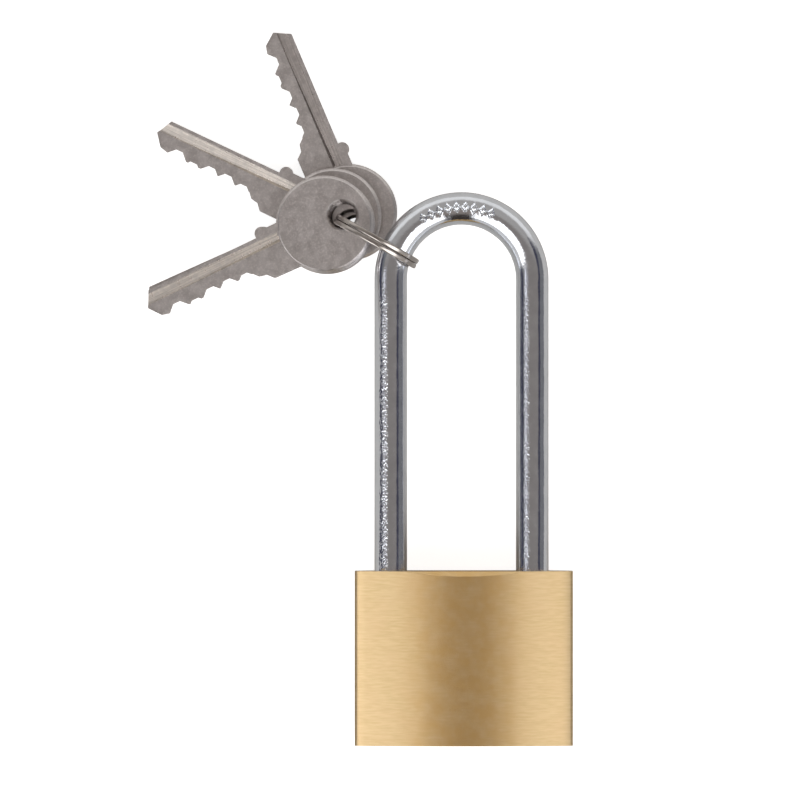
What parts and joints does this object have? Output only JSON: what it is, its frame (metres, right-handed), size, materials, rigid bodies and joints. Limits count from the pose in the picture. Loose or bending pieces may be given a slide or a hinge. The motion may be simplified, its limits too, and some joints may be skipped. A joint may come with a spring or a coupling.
{
  "type": "padlock",
  "caption": "Solid brass padlock with a long round steel shackle, pin tumbler lock inside, and a split ring of flat keys on the shackle.",
  "frame": {"origin": "centre of the keyway end of the body, on the key plug's axis, with the padlock lying on its back", "axes": "+X to the right across the front, +Y from the keyway end along the shackle to its crown, +Z out of the front face"},
  "size_m": [0.078, 0.1311, 0.0174],
  "materials": {
    "brass": "brushed",
    "chrome": "polished",
    "nickel": "satin",
    "steel": "plain"
  },
  "bodies": {
    "case": {"body": "brass", "latch_bore_plug": "brass", "shackle_retaining_pin": "steel", "plug_retaining_pin": "steel", "shackle_spring": "steel", "latch_spring": "steel", "driver_pin_1": "steel", "driver_pin_2": "steel", "driver_pin_3": "steel", "driver_pin_4": "steel", "driver_pin_5": "steel", "pin_spring_1": "steel", "pin_spring_2": "steel", "pin_spring_3": "steel", "pin_spring_4": "steel", "pin_spring_5": "steel", "chamber_cap_1": "brass", "chamber_cap_2": "brass", "chamber_cap_3": "brass", "chamber_cap_4": "brass", "chamber_cap_5": "brass"},
    "shackle": {"shackle": "chrome"},
    "latch": {"latch": "steel"},
    "plug": {"key_plug": "brass", "key_pin_1": "brass", "key_pin_2": "brass", "key_pin_3": "brass", "key_pin_4": "brass", "key_pin_5": "brass"},
    "ring": {"split_ring": "nickel"},
    "key_a": {"key_a": "nickel"},
    "key_b": {"key_b": "nickel"},
    "key_c": {"key_c": "nickel"},
    "key_d": {"key_d": "nickel"}
  },
  "joints": [
    {"name": "key_plug_turn", "type": "hinge", "parent": "case", "child": "plug", "pos_m": [0, 0, 0], "axis": [0, 1, 0], "range_deg": [0, 90]},
    {"name": "latch_slide", "type": "slide", "parent": "case", "child": "latch", "axis": [-1, 0, 0], "range_m": [0, 0.00425], "deforming": ["latch_spring"]},
    {"name": "shackle_lift", "type": "slide", "parent": "case", "child": "shackle", "axis": [0, 1, 0], "range_m": [0, 0.01], "deforming": ["shackle_spring"]},
    {"name": "ring_swing", "type": "hinge", "parent": "shackle", "child": "ring", "pos_m": [-0.01245, 0.09047, 0], "axis": [0.3746, 0.9272, 0], "range_deg": [-30, 110]},
    {"name": "key_a_swivel", "type": "hinge", "parent": "ring", "child": "key_a", "pos_m": [-0.02219, 0.09736, 0.0003], "axis": [-0.0334, 0.0189, 0.9993], "range_deg": [-130, 30]},
    {"name": "key_b_swivel", "type": "hinge", "parent": "ring", "child": "key_b", "pos_m": [-0.02172, 0.09698, -0.00178], "axis": [-0.0334, 0.0189, 0.9993], "range_deg": [-125, 25]},
    {"name": "key_c_swivel", "type": "hinge", "parent": "ring", "child": "key_c", "pos_m": [-0.02062, 0.09555, -0.00382], "axis": [-0.0334, 0.0189, 0.9993], "range_deg": [-75, 70]},
    {"name": "key_d_swivel", "type": "hinge", "parent": "ring", "child": "key_d", "pos_m": [-0.01966, 0.09455, -0.00587], "axis": [-0.0334, 0.0189, 0.9993], "range_deg": [-20, 90]}
  ],
  "couplings": [
    {"joint": "key_plug_turn", "follows": "shackle_lift", "rad_per_m": 157.08},
    {"joint": "latch_slide", "follows": "shackle_lift", "ratio": 0.42426}
  ]
}
